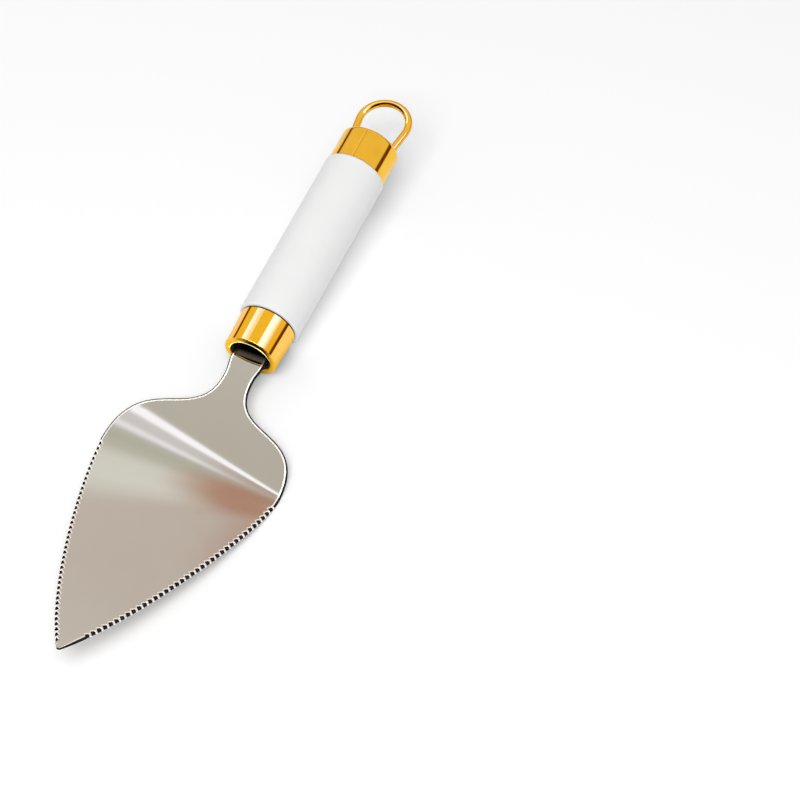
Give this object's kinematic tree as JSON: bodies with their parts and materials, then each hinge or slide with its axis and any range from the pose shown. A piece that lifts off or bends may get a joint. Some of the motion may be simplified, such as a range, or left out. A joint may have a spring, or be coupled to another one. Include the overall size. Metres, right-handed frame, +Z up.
{
  "type": "cake server",
  "caption": "Cake server with a bent, serrated steel blade, a round white handle between gold end fittings, and a wire hanging loop.",
  "frame": {"origin": "on the table, under the middle of the server's box, as it lies at rest on the heel of its blade and the front edge of its ferrule", "axes": "+Z up from the table, +Y along the server from the blade's tip to the hanging loop, +X across the blade to the right"},
  "size_m": [0.0644, 0.244, 0.0286],
  "materials": {
    "steel": "polished",
    "gold": "polished",
    "white": "satin",
    "core": "satin",
    "pins": "satin"
  },
  "bodies": {
    "root": {"blade": "steel", "front_ferrule": "gold", "handle_sleeve": "white", "rear_cap": "gold", "hanging_loop": "gold", "core_upper": "core", "core_lower": "core", "tang_pins": "pins", "cap_bush": "core"}
  },
  "joints": []
}
